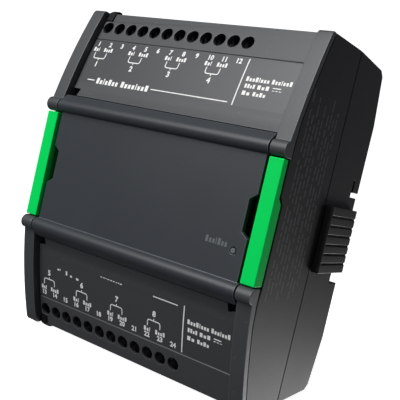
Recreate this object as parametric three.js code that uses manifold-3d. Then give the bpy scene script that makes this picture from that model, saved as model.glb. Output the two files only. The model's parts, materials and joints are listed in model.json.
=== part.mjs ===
// Terminal-type controller module on a rail-mounted base, in millimetres.
//
// Every solid is drawn in (across, depth, height): across is +X to the right, depth is +Y back
// from the fronts of the release handles, and height is +Z up from the middle of the module.
// The finished group is then moved forward so that its origin lies on the rail seat.
import * as THREE from 'three';
import { mergeVertices } from 'three/addons/utils/BufferGeometryUtils.js';
import Module from 'manifold-3d';

const wasm = await Module();
wasm.setup();

// Overall sizes.
const WIDTH = 90;
const HEIGHT = 114;
const DEPTH = 64;
const JOINT_DEPTH = 36;
const FRONT_DRAFT = 1;
const REAR_DRAFT = 0.6;
const WALL = 2;
const CLEARANCE = 0.3;

// Sloping front, its rounded beads and the side strips.
const SLOPE_BACK = 12;
const SLOPE_CROWN = 0.97;
const BEAD_RADIUS = 2.3;
const BEAD_DEPTH = 1;
const BEAD_REAR = 0.7;
const STRIP_WIDTH = 4.8;
const STRIP_THICKNESS = 2.3;
const CHEEK_THICKNESS = 1.5;
const CHEEK_DEPTH = 8;
const BEAM = 3;
const BEAM_DEPTH = 5.4;
const WEB_FROM_STRIP = 9.2;
const WEB_WIDTH = 2;

// Release handles.
const HANDLE_LENGTH = 35.6;
const HANDLE_THICKNESS = 2.8;
const HANDLE_LIP = 4.8;
const HANDLE_STEP = 6.5;
const HANDLE_INSET = 0.2;
const LEG_THICKNESS = 1.4;
const LEG_HALF_HEIGHT = 10;

// Centre panel.
const PANEL_DEPTH = 0.8;
const PANEL_THICKNESS = 2;
const PANEL_GAP = 1.1;
const NOTCH_DEPTH = 2.2;
const NOTCH_TOP = 5.2;
const NOTCH_BOTTOM = -4.2;
const NOTCH_SLANT = 1.6;
const LIGHT_PIPE_RADIUS = 0.8;
const LIGHT_PIPE_X = 35.6;
const LIGHT_PIPE_Z = -9.8;

// Terminal doors and their hinges.
const DOOR_RECESS = 2.6;
const DOOR_THICKNESS = 1.8;
const DOOR_TOP_GAP = 0.25;
const SKIRT_RISE = 1.6;
const HINGE_RISE = 4.7;
const HINGE_BACK = 5.7;
const FLARE_RISE = 6.8;
const FLARE_FORWARD = 1.9;
const KNUCKLE_RADIUS = 1.8;
const KNUCKLE_WIDTH = 3;
const PIN_RADIUS = 0.8;
const PIN_CLEARANCE = 0.3;
const HINGE_CORNER = 3.2;
const CORNER_NOTCHES = { 1: [-1], '-1': [-1, 1] };
const TAB_WIDTH = 2.7;
const TAB_HEIGHT = 3;
const TAB_ROUND = 1;
const GROOVE = 0.4;
const GROOVE_BELOW_ROW = 4.8;

// Terminals.
const TERMINALS = 12;
const PITCH = 5.08;
const ROW_FROM_EDGE = 6.8;
const FIRST_HOLE_MARGIN = 2.4;
const HOLE_RADIUS = 2.1;
const WELL_RADIUS = 1.95;
const BLOCK_HEIGHT = 10.4;
const BLOCK_SET_IN = 1.2;
const HEAD_RADIUS = 1.6;
const HEAD_HEIGHT = 1.5;
const HEAD_IN_WELL = 3;
const SHANK_RADIUS = 1;
const SCREW_SLOT = 0.5;
const SCREW_LENGTH = 10;
const WIRE_HOLE = 3.7;
const WIRE_BEHIND_HEAD = 3;
const WIRE_HOLE_DEPTH = 4.8;

// Circuit boards and what stands on them.
const BOARD = 1.6;
const BOARD_FROM_JOINT = 4;
const BASE_BOARD_FROM_JOINT = 3.4;
const LEDGE = 2;
const LEDGE_FROM = 24;
const LEDGE_TO = 40;
const BASE_BOARD_FROM_SIDE = 9;
const BASE_BOARD_FROM_END = 27;
const POST_X = 24;
const POST_FROM_END = 31;
const POST_RADIUS = 2.5;
const BOARD_SCREW_RADIUS = 1.2;

// Rear of the base: rail recess, hooks and clip.
const RAIL_HEIGHT = 35;
const RAIL_THICKNESS = 1;
const RAIL_RECESS = 7;
const RAIL_PLAY = 0.6;
const HOOK_REACH = 1.9;
const HOOK_THICKNESS = 2.2;
const EAR_WIDTH = 5;
const LUG_DEPTH = 6.2;
const HOOK_WIDTH = 10;
const HOOK_SPACING = 30;
const REAR_TAPER = 19;
const REAR_CHAMFER = 3.5;
const CORNER_HEIGHT = 1.7;
const CORNER_DEPTH = 2.5;
const CLIP_HALF_WIDTH = 8;
const CLIP_THICKNESS = 2.1;
const CLIP_TRAVEL = 4;
const CLIP_BEHIND_SEAT = 0.7;
const CLIP_BAR = 12.5;
const CLIP_FOOT_BAR = 6.4;
const SPRING_STOP = 2.6;
const POCKET_WALL = 2.2;
const SPRING_HALF_WIDTH = 3.4;
const SPRING_END_GAP = 0.2;
const SPRING_TURNS = 8;
const SPRING_WIRE = 1.8;

// Bus connectors at the sides of the base and the ribbed cap.
const CAP_PROUD = 2.8;
const CAP_DEPTH = 25;
const CAP_ROUND = 2.4;
const CAP_NOTCH = 0.8;
const CAP_NOTCH_DEPTH = 1;
const CAP_TOP = 8;
const CAP_BOTTOM = -13.6;
const CAP_RIBS = 7;
const CAP_GROOVE = 0.7;
const CAP_GROOVE_DEPTH = 0.9;
const SKIRT_LENGTH = 7;
const SKIRT_WALL = 1.2;
const BUS_TOP = 5.5;
const BUS_BOTTOM = -10.9;
const BUS_FROM_JOINT = 3.3;
const BUS_DEPTH = 14.3;
const BUS_BODY_LENGTH = 15;

// Places that follow from the sizes above.
const HALF = WIDTH / 2;
const TOP = HEIGHT / 2;
const SEAT = DEPTH - RAIL_RECESS;
const BEAD_Z = HANDLE_LENGTH / 2 + CLEARANCE + BEAD_RADIUS;
const FOOT = BEAD_Z + BEAD_RADIUS;
const BEAD_BACK = BEAD_DEPTH + BEAD_RADIUS + BEAD_REAR;
const STRIP_X = HALF - STRIP_WIDTH;
const DOOR_X = STRIP_X - CLEARANCE - 0.1;
const FRONT_TOP = TOP - FRONT_DRAFT;
const DOOR_TOP = FRONT_TOP - DOOR_TOP_GAP;
const DOOR_FOOT = FOOT + SKIRT_RISE + CLEARANCE;
const HINGE = [BEAD_DEPTH + HINGE_BACK, FOOT + HINGE_RISE];
const KNUCKLE_X = DOOR_X - HINGE_CORNER - KNUCKLE_WIDTH;
const ROW_Z = TOP - ROW_FROM_EDGE;
const FIRST_X = FIRST_HOLE_MARGIN - DOOR_X;
const MODULE_BACK = JOINT_DEPTH - CLEARANCE / 2;
const BASE_FRONT = JOINT_DEPTH + CLEARANCE / 2;
const BLOCK_FRONT = slope(DOOR_TOP) + DOOR_RECESS + DOOR_THICKNESS + CLEARANCE;
const HEAD_DEPTH = BLOCK_FRONT + HEAD_IN_WELL;
const SCREW_END = HEAD_DEPTH + SCREW_LENGTH;
const WIRE_FROM = HEAD_DEPTH + WIRE_BEHIND_HEAD;
const WIRE_TO = WIRE_FROM + WIRE_HOLE_DEPTH;
const BOARD_FRONT = JOINT_DEPTH - BOARD_FROM_JOINT;
const BLOCK_BACK = BOARD_FRONT - CLEARANCE;
const BASE_BOARD_FRONT = JOINT_DEPTH + BASE_BOARD_FROM_JOINT;
const BASE_BOARD_BACK = BASE_BOARD_FRONT + BOARD;
const POST_Z = TOP - POST_FROM_END;
const RAIL_EDGE = RAIL_HEIGHT / 2;
const RECESS_EDGE = RAIL_EDGE + RAIL_PLAY;
const HOOK_DEPTH = SEAT + RAIL_THICKNESS + 0.4;
// A top-hat rail's flanges are 4 mm wide, and its hat is 25 mm wide inside and 6.5 mm deep.
const RAIL_FLANGE = 4;
const RAIL_WALL = 1;
const EAR_FOOT = RAIL_EDGE - RAIL_FLANGE + 0.4;
const LUG_TOP = RAIL_EDGE - RAIL_FLANGE - RAIL_WALL - 0.3;
const BUS_FRONT = JOINT_DEPTH + BUS_FROM_JOINT;
const BUS_BACK = BUS_FRONT + BUS_DEPTH;

// Colours of the moulded and metal pieces.
const CHARCOAL = { color: 0x4b4f52, roughness: 0.55, metalness: 0 };
const PANEL_GREY = { color: 0x3c4147, roughness: 0.5, metalness: 0 };
const BLACK = { color: 0x1f2123, roughness: 0.6, metalness: 0 };
const GREEN = { color: 0x18cf5c, roughness: 0.45, metalness: 0 };
const BOARD_GREEN = { color: 0x1d5a37, roughness: 0.5, metalness: 0 };
const CHIP = { color: 0x17181a, roughness: 0.5, metalness: 0 };
const ZINC = { color: 0xb9bcbf, roughness: 0.35, metalness: 1 };
const CAN = { color: 0xa9acb0, roughness: 0.3, metalness: 1 };
const CLEAR = { color: 0xd7e4e6, roughness: 0.15, metalness: 0 };
const LAMP = { color: 0xe9efe0, roughness: 0.3, metalness: 0 };

const group = new THREE.Group();
group.position.y = -SEAT;

function add(name, shape, look) {
  const geometry = shape.isBufferGeometry ? shape : toGeometry(shape);
  const mesh = new THREE.Mesh(geometry, new THREE.MeshStandardMaterial(look));
  mesh.name = name;
  group.add(mesh);
  return mesh;
}

function toSolid(geometry) {
  const bare = geometry.clone();
  bare.deleteAttribute('normal');
  bare.deleteAttribute('uv');
  const merged = mergeVertices(bare, 1e-4);
  const mesh = new wasm.Mesh({
    numProp: 3,
    vertProperties: new Float32Array(merged.attributes.position.array),
    triVerts: new Uint32Array(merged.index.array),
  });
  return new wasm.Manifold(mesh);
}

function toGeometry(solid) {
  const mesh = solid.getMesh();
  const geometry = new THREE.BufferGeometry();
  geometry.setAttribute('position', new THREE.BufferAttribute(new Float32Array(mesh.vertProperties), 3));
  geometry.setIndex(new THREE.BufferAttribute(new Uint32Array(mesh.triVerts), 1));
  geometry.computeVertexNormals();
  return geometry;
}

const join = (...solids) => solids.reduce((whole, solid) => whole.add(solid));
const cut = (solid, ...tools) => tools.reduce((left, tool) => left.subtract(tool), solid);

function box(x0, x1, y0, y1, z0, z1) {
  const geometry = new THREE.BoxGeometry(Math.abs(x1 - x0), y1 - y0, Math.abs(z1 - z0));
  return toSolid(geometry.translate((x0 + x1) / 2, (y0 + y1) / 2, (z0 + z1) / 2));
}

// A closed outline of [depth, height] points, drawn out along X.
function prism(outline, x0, x1) {
  const shape = new THREE.Shape(outline.map(([depth, height]) => new THREE.Vector2(depth, height)));
  const low = Math.min(x0, x1);
  const options = { depth: Math.abs(x1 - x0), bevelEnabled: false };
  const turn = new THREE.Matrix4().set(0, 0, 1, low, 1, 0, 0, 0, 0, 1, 0, 0, 0, 0, 0, 1);
  return toSolid(new THREE.ExtrudeGeometry(shape, options).applyMatrix4(turn));
}

// A closed outline of [across, height] points, drawn out along the depth.
function plate(outline, y0, y1) {
  const shape = new THREE.Shape(outline.map(([across, height]) => new THREE.Vector2(across, height)));
  const turn = new THREE.Matrix4().set(1, 0, 0, 0, 0, 0, -1, y1, 0, 1, 0, 0, 0, 0, 0, 1);
  return toSolid(new THREE.ExtrudeGeometry(shape, { depth: y1 - y0, bevelEnabled: false }).applyMatrix4(turn));
}

function rodAlongDepth(x, z, radius, y0, y1, sides = 16) {
  const geometry = new THREE.CylinderGeometry(radius, radius, y1 - y0, sides);
  return toSolid(geometry.translate(x, (y0 + y1) / 2, z));
}

function rodAcross(depth, z, radius, x0, x1, sides = 16) {
  const geometry = new THREE.CylinderGeometry(radius, radius, Math.abs(x1 - x0), sides).rotateZ(Math.PI / 2);
  return toSolid(geometry.translate((x0 + x1) / 2, depth, z));
}

const flip = (outline, end) => outline.map(([depth, height]) => [depth, height * end]);
const mirrorX = (outline, side) => outline.map(([across, height]) => [across * side, height]);

// Depth of the sloping front at a height, and a run of points on it or behind it.
function slope(height) {
  const t = (height - FOOT) / (TOP - FOOT);
  return BEAD_DEPTH + (SLOPE_BACK - BEAD_DEPTH) * t - 4 * SLOPE_CROWN * t * (1 - t);
}

function slopeRun(from, to, back, steps = 8) {
  return Array.from({ length: steps + 1 }, (_, i) => {
    const height = from + ((to - from) * i) / steps;
    return [slope(height) + back, height];
  });
}

// The rounded front of a bead, from its underside to an angle above its middle.
function beadRun(lastDegrees, steps) {
  return Array.from({ length: steps + 1 }, (_, i) => {
    const angle = THREE.MathUtils.degToRad(-90 + ((lastDegrees + 90) * i) / steps);
    return [BEAD_DEPTH - BEAD_RADIUS * Math.cos(angle), BEAD_Z + BEAD_RADIUS * Math.sin(angle)];
  });
}

// A stretch of a circle around the hinge that the doors' hinge edges swing inside.
function swingRun(radius, fromDegrees, toDegrees, steps) {
  return Array.from({ length: steps + 1 }, (_, i) => {
    const angle = THREE.MathUtils.degToRad(fromDegrees + ((toDegrees - fromDegrees) * i) / steps);
    return [HINGE[0] - radius * Math.cos(angle), HINGE[1] - radius * Math.sin(angle)];
  });
}

// ---- Front frame: four side strips, their inner cheeks and the beams that join them ----

const stripOutline = [
  ...beadRun(90, 8),
  ...slopeRun(FOOT + 0.2, FRONT_TOP - 0.9, 0, 10),
  [slope(FRONT_TOP) + 0.3, FRONT_TOP - 0.2],
  [slope(FRONT_TOP) + 0.8, FRONT_TOP],
  ...slopeRun(FRONT_TOP, FOOT + 6, STRIP_THICKNESS, 6),
  [BEAD_BACK, FOOT],
  [BEAD_BACK, BEAD_Z - BEAD_RADIUS],
];
const cheekOutline = [
  [BEAD_DEPTH + 1, BEAD_Z],
  ...slopeRun(FOOT + 1, FRONT_TOP - WALL - CLEARANCE, 1, 6),
  ...slopeRun(FRONT_TOP - WALL - CLEARANCE, FOOT + 2, CHEEK_DEPTH, 6),
  [BEAM_DEPTH + BEAM, FOOT - 2],
  [BEAM_DEPTH + BEAM, HANDLE_LENGTH / 2 - BEAM],
  [BEAM_DEPTH, HANDLE_LENGTH / 2 - BEAM],
  [BEAM_DEPTH, BEAD_Z - BEAD_RADIUS],
  [BEAD_DEPTH + 1, BEAD_Z - BEAD_RADIUS],
];

function makeFrame() {
  const beamX = STRIP_X + CHEEK_THICKNESS;
  const beamTop = HANDLE_LENGTH / 2 - CLEARANCE;
  const beamFoot = HANDLE_LENGTH / 2 - BEAM;
  const pieces = [];
  for (const end of [1, -1]) {
    pieces.push(box(-beamX, beamX, BEAM_DEPTH, BEAM_DEPTH + BEAM, beamFoot * end, beamTop * end));
    for (const side of [1, -1]) {
      pieces.push(prism(flip(stripOutline, end), STRIP_X * side, HALF * side));
      pieces.push(prism(flip(cheekOutline, end), STRIP_X * side, beamX * side));
    }
  }
  for (const side of [1, -1]) {
    const webX = STRIP_X - WEB_FROM_STRIP;
    pieces.push(box((webX - WEB_WIDTH) * side, webX * side, BEAM_DEPTH, BEAM_DEPTH + BEAM, -beamTop, beamTop));
  }
  const pinHoles = [];
  for (const end of [1, -1]) {
    for (const side of [1, -1]) {
      const far = STRIP_X + CHEEK_THICKNESS + 1;
      pinHoles.push(rodAcross(HINGE[0], HINGE[1] * end, PIN_RADIUS + PIN_CLEARANCE, DOOR_X * side, far * side));
    }
  }
  return cut(join(...pieces), ...pinHoles);
}
add('front_frame', makeFrame(), CHARCOAL);

// ---- Centre panel with a long bead and skirt along each door ----

const longBeadOutline = [
  ...beadRun(50, 8),
  [BEAD_DEPTH + 1, FOOT + SKIRT_RISE],
  ...swingRun(5.1, 38, 68, 3),
  [HINGE[0] - 1.9, BEAD_Z - BEAD_RADIUS],
];
const panelX = STRIP_X - PANEL_GAP;
const notchOutline = [
  [panelX + 1, NOTCH_TOP + NOTCH_SLANT * (1 + 1 / NOTCH_DEPTH)],
  [panelX - NOTCH_DEPTH, NOTCH_TOP],
  [panelX - NOTCH_DEPTH, NOTCH_BOTTOM],
  [panelX + 1, NOTCH_BOTTOM - NOTCH_SLANT * (1 + 1 / NOTCH_DEPTH)],
];

function makePanel() {
  const reach = BEAD_Z - BEAD_RADIUS / 2;
  const back = PANEL_DEPTH + PANEL_THICKNESS;
  const face = box(-panelX, panelX, PANEL_DEPTH, back, -reach, reach);
  const beads = [1, -1].map((end) => prism(flip(longBeadOutline, end), -DOOR_X, DOOR_X));
  const notches = [1, -1].map((side) => plate(mirrorX(notchOutline, side), PANEL_DEPTH - 1, back + 1));
  const lampHole = rodAlongDepth(LIGHT_PIPE_X, LIGHT_PIPE_Z, LIGHT_PIPE_RADIUS + CLEARANCE, -1, back + 1);
  return cut(join(face, ...beads), ...notches, lampHole);
}
add('centre_panel', makePanel(), PANEL_GREY);

// ---- Terminal doors ----

const flareTop = FOOT + FLARE_RISE;
const flareCurve = new THREE.QuadraticBezierCurve(
  new THREE.Vector2(BEAD_DEPTH + FLARE_FORWARD, DOOR_FOOT),
  new THREE.Vector2(slope(flareTop) + DOOR_RECESS - 0.5, flareTop - 2.2),
  new THREE.Vector2(slope(flareTop) + DOOR_RECESS, flareTop),
);
const flareRun = flareCurve.getPoints(6).map((point) => [point.x, point.y]);
const doorOutline = [
  ...flareRun,
  ...slopeRun(flareTop + 1, DOOR_TOP, DOOR_RECESS, 8),
  ...slopeRun(DOOR_TOP, flareTop, DOOR_RECESS + DOOR_THICKNESS, 8),
  [flareRun[0][0] + DOOR_THICKNESS, DOOR_FOOT],
];

function makeDoor(end) {
  const [hingeDepth, hingeHeight] = HINGE;
  const plateSolid = prism(flip(doorOutline, end), -DOOR_X, DOOR_X);
  const knuckles = [1, -1].map((side) =>
    rodAcross(hingeDepth, hingeHeight * end, KNUCKLE_RADIUS, KNUCKLE_X * side, (KNUCKLE_X + KNUCKLE_WIDTH) * side));
  const tools = [];
  for (let i = 0; i < TERMINALS; i += 1) {
    tools.push(rodAlongDepth(FIRST_X + i * PITCH, ROW_Z * end, HOLE_RADIUS, 5, BLOCK_FRONT + 2));
  }
  for (const side of CORNER_NOTCHES[end]) {
    const inner = DOOR_X - HINGE_CORNER;
    tools.push(box(inner * side, (DOOR_X + 1) * side, -1, 12, (DOOR_FOOT - 1) * end, (DOOR_FOOT + 2.6) * end));
  }
  for (const side of [1, -1]) {
    tools.push(rodAcross(hingeDepth, hingeHeight * end, PIN_RADIUS + PIN_CLEARANCE,
      (KNUCKLE_X + 0.8) * side, (DOOR_X + 1) * side));
  }
  const tabX = TAB_WIDTH + CLEARANCE - DOOR_X;
  tools.push(box(-DOOR_X - 1, tabX, 5, 20, (DOOR_TOP + 1) * end, (FRONT_TOP - TAB_HEIGHT - CLEARANCE) * end));
  const grooveZ = ROW_Z - GROOVE_BELOW_ROW;
  const grooveDepth = slope(grooveZ) + DOOR_RECESS;
  tools.push(box(-DOOR_X - 1, DOOR_X + 1, grooveDepth - 1, grooveDepth + GROOVE,
    grooveZ * end, (grooveZ + GROOVE) * end));
  return cut(join(plateSolid, ...knuckles), ...tools);
}
add('upper_door', makeDoor(1), CHARCOAL);
add('lower_door', makeDoor(-1), CHARCOAL);

for (const [endName, end] of [['upper', 1], ['lower', -1]]) {
  for (const [sideName, side] of [['left', -1], ['right', 1]]) {
    const from = KNUCKLE_X + 0.8 + CLEARANCE;
    const to = STRIP_X + CHEEK_THICKNESS;
    add(`${endName}_${sideName}_hinge_pin`,
      rodAcross(HINGE[0], HINGE[1] * end, PIN_RADIUS, from * side, to * side, 12), ZINC);
  }
}

// ---- Release handles: a front bar, a lip down the flank and a leg into the housing ----

function makeHandle(side) {
  const inner = STRIP_X;
  const outer = HALF - HANDLE_INSET;
  const tip = HANDLE_LENGTH / 2;
  const lipX = HALF - WALL + 0.1;
  const legX = HALF - WALL - 0.4;
  const bar = box(inner * side, outer * side, 0, HANDLE_THICKNESS, -tip, tip);
  const lipOutline = [[HANDLE_THICKNESS - 0.5, HANDLE_STEP + 1], [HANDLE_LIP, HANDLE_STEP - 1],
    [HANDLE_LIP, -tip], [HANDLE_THICKNESS - 0.5, -tip]];
  const lip = prism(lipOutline, lipX * side, outer * side);
  const leg = box((legX - LEG_THICKNESS) * side, legX * side, HANDLE_THICKNESS - 0.5, BLOCK_BACK - 1,
    -LEG_HALF_HEIGHT, LEG_HALF_HEIGHT);
  return join(bar, lip, leg);
}
add('left_release_handle', makeHandle(-1), GREEN);
add('right_release_handle', makeHandle(1), GREEN);

// ---- Module housing: a tube of four walls behind the frame ----

const wireSlot = [FIRST_X - PITCH / 2 - 0.2, FIRST_X + (TERMINALS - 0.5) * PITCH + 0.2];

function makeHousing() {
  const edge = STRIP_THICKNESS + CLEARANCE;
  const tip = HANDLE_LENGTH / 2 + CLEARANCE;
  const beadBack = BEAD_BACK + CLEARANCE;
  const flankOutline = [
    [MODULE_BACK, -TOP],
    ...flip(slopeRun(FRONT_TOP, FOOT + 6, edge, 6), -1),
    [beadBack, -FOOT],
    [HANDLE_LIP + CLEARANCE, -tip],
    [HANDLE_LIP + CLEARANCE, HANDLE_STEP - 1 + CLEARANCE],
    [HANDLE_THICKNESS + CLEARANCE, HANDLE_STEP + 1 + CLEARANCE],
    [HANDLE_THICKNESS + CLEARANCE, tip],
    [beadBack, tip],
    [beadBack, FOOT],
    ...slopeRun(FOOT + 6, FRONT_TOP, edge, 6),
    [MODULE_BACK, TOP],
  ];
  const lidOutline = [[slope(FRONT_TOP) + edge, FRONT_TOP], [MODULE_BACK, TOP],
    [MODULE_BACK, TOP - WALL], [slope(FRONT_TOP) + edge, FRONT_TOP - WALL]];
  const pieces = [1, -1].map((side) => prism(flankOutline, (HALF - WALL) * side, HALF * side));
  const tools = [];
  for (const end of [1, -1]) {
    const lidFoot = FRONT_TOP - WALL - 1;
    pieces.push(prism(flip(lidOutline, end), -HALF, HALF));
    tools.push(box(-DOOR_X - 0.3, DOOR_X + 0.3, 0, BLOCK_FRONT, lidFoot * end, (TOP + 1) * end));
    tools.push(box(...wireSlot, 0, BLOCK_BACK + 0.2, lidFoot * end, (TOP + 1) * end));
    for (const side of [1, -1]) {
      pieces.push(box((HALF - WALL - LEDGE) * side, (HALF - 0.5) * side, BLOCK_BACK - LEDGE, BLOCK_BACK,
        LEDGE_FROM * end, LEDGE_TO * end));
    }
  }
  return cut(join(...pieces), ...tools);
}
add('module_housing', makeHousing(), BLACK);

// ---- Terminal blocks and their screws ----

function makeBlock(end) {
  const outer = TOP - BLOCK_SET_IN;
  const inner = outer - BLOCK_HEIGHT;
  const left = wireSlot[0] + CLEARANCE;
  const body = box(left, wireSlot[1] - CLEARANCE, BLOCK_FRONT, BLOCK_BACK, inner * end, outer * end);
  const tabEdge = left + TAB_WIDTH;
  const tabFoot = FRONT_TOP - TAB_HEIGHT;
  const tabOutline = [...slopeRun(tabFoot, TOP - TAB_ROUND, DOOR_RECESS - CLEARANCE, 4),
    [slope(TOP) + DOOR_RECESS + TAB_ROUND / 3, TOP - TAB_ROUND / 3],
    [slope(TOP) + DOOR_RECESS + TAB_ROUND, TOP],
    [BLOCK_FRONT + 1, TOP], [BLOCK_FRONT + 1, tabFoot]];
  const tab = prism(flip(tabOutline, end), left, tabEdge);
  const tools = [];
  for (let i = 0; i < TERMINALS; i += 1) {
    const x = FIRST_X + i * PITCH;
    tools.push(rodAlongDepth(x, ROW_Z * end, WELL_RADIUS, BLOCK_FRONT - 1, WIRE_FROM + 0.5, 12));
    tools.push(rodAlongDepth(x, ROW_Z * end, SHANK_RADIUS + 0.35, WIRE_TO - 0.5, SCREW_END + 0.5, 12));
    tools.push(box(x - WIRE_HOLE / 2, x + WIRE_HOLE / 2, WIRE_FROM, WIRE_TO,
      (ROW_Z - WELL_RADIUS - 0.2) * end, (TOP + 1) * end));
  }
  return cut(join(body, tab), ...tools);
}
add('upper_terminal_block', makeBlock(1), BLACK);
add('lower_terminal_block', makeBlock(-1), BLACK);

function makeTerminalScrew() {
  const head = rodAlongDepth(0, 0, HEAD_RADIUS, 0, HEAD_HEIGHT, 12);
  const shank = rodAlongDepth(0, 0, SHANK_RADIUS, HEAD_HEIGHT - 0.2, SCREW_END - HEAD_DEPTH, 8);
  const slot = box(-HEAD_RADIUS, HEAD_RADIUS, -1, HEAD_HEIGHT / 2, -SCREW_SLOT / 2, SCREW_SLOT / 2);
  return toGeometry(cut(join(head, shank), slot));
}
const terminalScrew = makeTerminalScrew();
for (let i = 0; i < 2 * TERMINALS; i += 1) {
  const end = i < TERMINALS ? 1 : -1;
  const screw = add(`terminal_screw_${String(i + 1).padStart(2, '0')}`, terminalScrew.clone(), ZINC);
  screw.position.set(FIRST_X + (i % TERMINALS) * PITCH, HEAD_DEPTH, ROW_Z * end);
}

// ---- Main circuit board and its parts ----

const mainX = HALF - WALL - 0.5;
const mainZ = FRONT_TOP - WALL;
add('main_board', box(-mainX, mainX, BOARD_FRONT, BOARD_FRONT + BOARD, -mainZ, mainZ), BOARD_GREEN);

// A block of a width, a height and a thickness that stands on the front of the main board.
function onBoard(x, z, width, height, thickness) {
  const back = BOARD_FRONT - CLEARANCE;
  return box(x - width / 2, x + width / 2, back - thickness, back, z - height / 2, z + height / 2);
}
add('processor_chip', onBoard(-4, 2, 12, 12, 1.6), CHIP);
add('driver_chip_upper', onBoard(-22, 26, 10, 7.5, 2.3), CHIP);
add('driver_chip_lower', onBoard(-22, -26, 10, 7.5, 2.3), CHIP);
add('isolating_converter', onBoard(18, 24, 18, 14, 9), CHIP);
add('capacitor_upper', rodAlongDepth(34, 25, 4, BLOCK_BACK - 11, BLOCK_BACK, 16), CAN);
add('capacitor_lower', rodAlongDepth(10, -26, 4, BLOCK_BACK - 11, BLOCK_BACK, 16), CAN);
add('status_lamp', onBoard(LIGHT_PIPE_X, LIGHT_PIPE_Z, 3.2, 2.4, 1.6), LAMP);
add('status_light_pipe', rodAlongDepth(LIGHT_PIPE_X, LIGHT_PIPE_Z, LIGHT_PIPE_RADIUS, PANEL_DEPTH - 0.1,
  BOARD_FRONT - 2 * CLEARANCE - 1.6, 12), CLEAR);
add('board_plug', box(-12, 12, BOARD_FRONT + BOARD + CLEARANCE, JOINT_DEPTH + 0.2, -4, 4), CHIP);

// ---- Base: rear shell with the rail recess, hooks, clip pocket, board posts and side openings ----

const clipBack = SEAT - CLIP_BEHIND_SEAT;
const clipFront = clipBack - CLIP_THICKNESS;
const windowTop = -RECESS_EDGE - CLIP_BAR;
const windowFoot = CLIP_FOOT_BAR - TOP;
const stopTop = windowFoot + SPRING_STOP + 0.7;
const capFront = JOINT_DEPTH + CLEARANCE;

function rearOutline(inset) {
  const far = DEPTH - inset;
  const top = TOP - inset;
  const rearTop = top - REAR_DRAFT;
  const flat = TOP - REAR_TAPER - inset / 5;
  const cornerDepth = far - REAR_CHAMFER - CORNER_DEPTH;
  const upper = [[BASE_FRONT - inset, top], [cornerDepth, rearTop],
    [cornerDepth + CORNER_DEPTH, rearTop - CORNER_HEIGHT], [far, flat]];
  return [...upper, ...flip(upper, -1).reverse()];
}

function makeBase() {
  const outer = prism(rearOutline(0), -HALF, HALF);
  const inner = prism(rearOutline(WALL), WALL - HALF, HALF - WALL);
  const recessWall = RECESS_EDGE + POCKET_WALL;
  const channelBlock = box(-HALF, HALF, SEAT - POCKET_WALL, DEPTH - 0.1, -recessWall, recessWall);
  const pocketX = CLIP_HALF_WIDTH + CLEARANCE;
  const clipBlock = box(-pocketX - POCKET_WALL, pocketX + POCKET_WALL, clipFront - CLEARANCE - POCKET_WALL,
    DEPTH, -TOP, -RECESS_EDGE).intersect(outer);
  const channel = box(-HALF - 1, HALF + 1, SEAT, DEPTH + 1, -RECESS_EDGE, RECESS_EDGE);
  const pocket = box(-pocketX, pocketX, clipFront - CLEARANCE, clipBack + CLEARANCE, -TOP - 1, -RECESS_EDGE);
  const lipPocket = box(-pocketX, pocketX, clipBack, DEPTH + 1,
    -RECESS_EDGE - BEAM - CLIP_TRAVEL - CLEARANCE, -RECESS_EDGE + 0.01);
  const springStop = box(-2.5, 2.5, clipFront - CLEARANCE - 1, clipBack - 0.3, stopTop - SPRING_STOP, stopTop);
  const hookOutline = [[HOOK_DEPTH, RECESS_EDGE + 0.5], [HOOK_DEPTH, RAIL_EDGE - HOOK_REACH],
    [HOOK_DEPTH + 1, RAIL_EDGE - HOOK_REACH], [HOOK_DEPTH + HOOK_THICKNESS, RAIL_EDGE - 0.5],
    [HOOK_DEPTH + HOOK_THICKNESS, RECESS_EDGE + 0.5]];
  const hooks = [-1, 0, 1].map((place) =>
    prism(hookOutline, place * HOOK_SPACING - HOOK_WIDTH / 2, place * HOOK_SPACING + HOOK_WIDTH / 2));
  const ends = [];
  for (const side of [1, -1]) {
    const inside = (HALF - EAR_WIDTH) * side;
    ends.push(box(inside, HALF * side, HOOK_DEPTH, DEPTH, EAR_FOOT, RECESS_EDGE + 1).intersect(outer));
    ends.push(box(inside, HALF * side, SEAT - 1, SEAT + LUG_DEPTH, -LUG_TOP, LUG_TOP));
  }
  const posts = [];
  const bores = [];
  for (const [x, z] of [[-POST_X, POST_Z], [POST_X, POST_Z], [-POST_X, -POST_Z], [POST_X, -POST_Z]]) {
    posts.push(rodAlongDepth(x, z, POST_RADIUS, BASE_BOARD_BACK + CLEARANCE, DEPTH - WALL / 2, 12));
    bores.push(rodAlongDepth(x, z, BOARD_SCREW_RADIUS + 0.25, BASE_BOARD_BACK, BASE_BOARD_BACK + 9, 12));
  }
  const sideHole = (side) => box((HALF - WALL - 1) * side, (HALF + 1) * side, BUS_FRONT - CLEARANCE,
    BUS_BACK + CLEARANCE, BUS_BOTTOM - CLEARANCE, BUS_TOP + CLEARANCE);
  const shell = join(cut(outer, inner), channelBlock, clipBlock);
  const cutShell = cut(shell, channel, pocket, lipPocket, sideHole(1), sideHole(-1));
  return cut(join(cutShell, springStop, ...hooks, ...ends, ...posts), ...bores);
}
add('terminal_base', makeBase(), BLACK);

// ---- Rail clip and its return spring ----

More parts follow.
